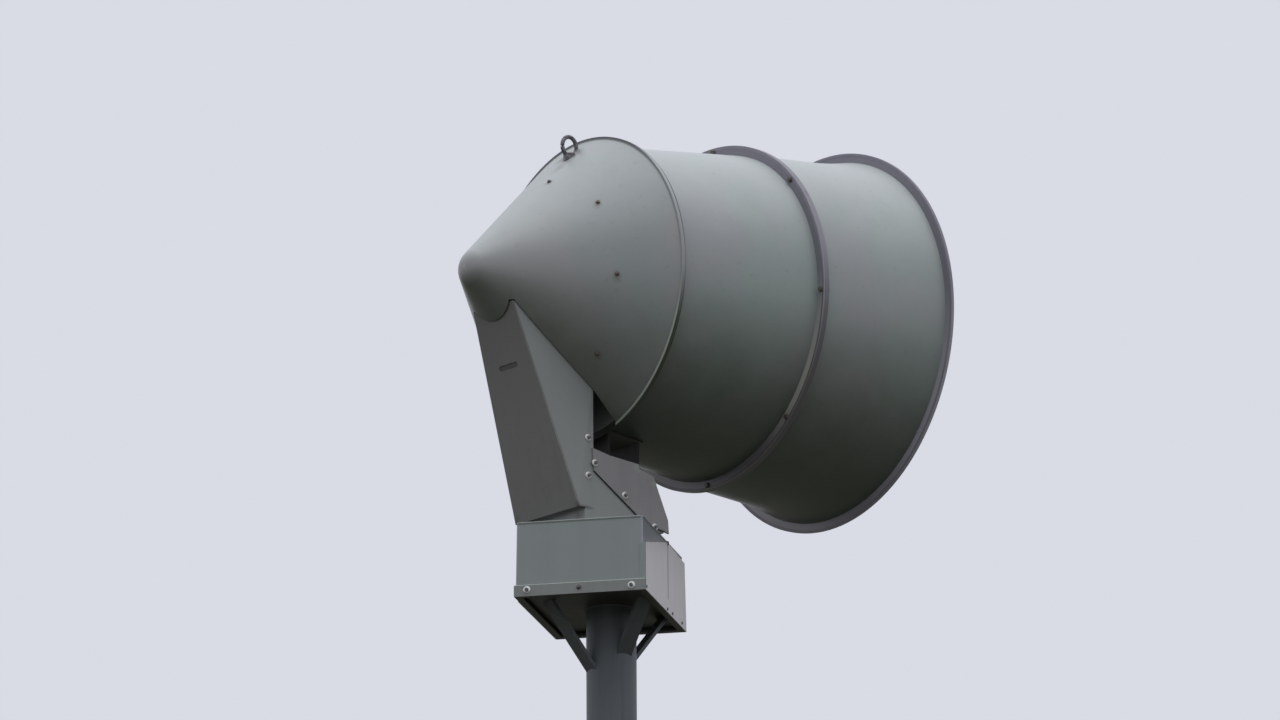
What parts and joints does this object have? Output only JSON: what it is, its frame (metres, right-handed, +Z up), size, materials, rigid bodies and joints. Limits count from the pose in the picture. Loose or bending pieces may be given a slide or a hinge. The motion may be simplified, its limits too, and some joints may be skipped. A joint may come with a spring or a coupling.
{
  "type": "rotating siren on a steel mast",
  "caption": "Civil defense siren: a rotating horn with a conical rear shell on a leaning arm, over a fixed gearbox housing on a braced pipe and a flanged tapered steel mast.",
  "frame": {"origin": "centre of the base plate's underside, on the mast's axis", "axes": "+Z up along the mast, -Y the way the horn's mouth faces at rest, +X to the right of the mouth's rear"},
  "size_m": [0.8958, 1.0817, 8.057],
  "materials": {
    "mast_paint": "satin grey-green paint, weathered",
    "head_paint": "satin grey-green paint, dirt at the seams",
    "cover_sheet": "paler satin grey sheet",
    "horn_shell": "glass-fibre shell in faded grey-green gel coat",
    "dark_steel": "bare dark steel with some rust",
    "machine_paint": "dark machine enamel"
  },
  "bodies": {
    "mast": {"base_plate": "mast_paint", "base_ribs": "mast_paint", "mast_shaft": "mast_paint", "handhole_frame": "mast_paint", "handhole_cover": "mast_paint", "mast_head_flange": "mast_paint", "pipe_foot_flange": "mast_paint", "stub_pipe": "mast_paint", "brace_right_rear": "mast_paint", "brace_right_front": "mast_paint", "brace_left_front": "mast_paint", "housing_tray": "head_paint", "housing_shell": "head_paint", "housing_lid": "head_paint", "side_cover_right": "cover_sheet", "side_cover_left": "cover_sheet", "slew_ring": "dark_steel"},
    "head": {"turntable": "dark_steel", "base_skirt": "head_paint", "arm_back_plate": "head_paint", "arm_side_left": "head_paint", "arm_side_right": "head_paint", "gusset_left": "head_paint", "gusset_right": "head_paint", "saddle_rib_front": "head_paint", "saddle_rib_rear": "head_paint", "cradle": "head_paint", "cone_shell": "horn_shell", "lifting_eye": "dark_steel", "rear_barrel": "horn_shell", "bulkhead": "horn_shell", "front_barrel": "horn_shell", "throat_horn": "horn_shell", "reflector_dome": "horn_shell", "dome_struts": "horn_shell", "chopper": "machine_paint", "motor": "machine_paint", "motor_plate": "head_paint"}
  },
  "joints": [
    {"name": "head_turn", "type": "hinge", "parent": "mast", "child": "head", "pos_m": [0, 0, 7.033], "axis": [0, 0, 1], "continuous": true}
  ]
}
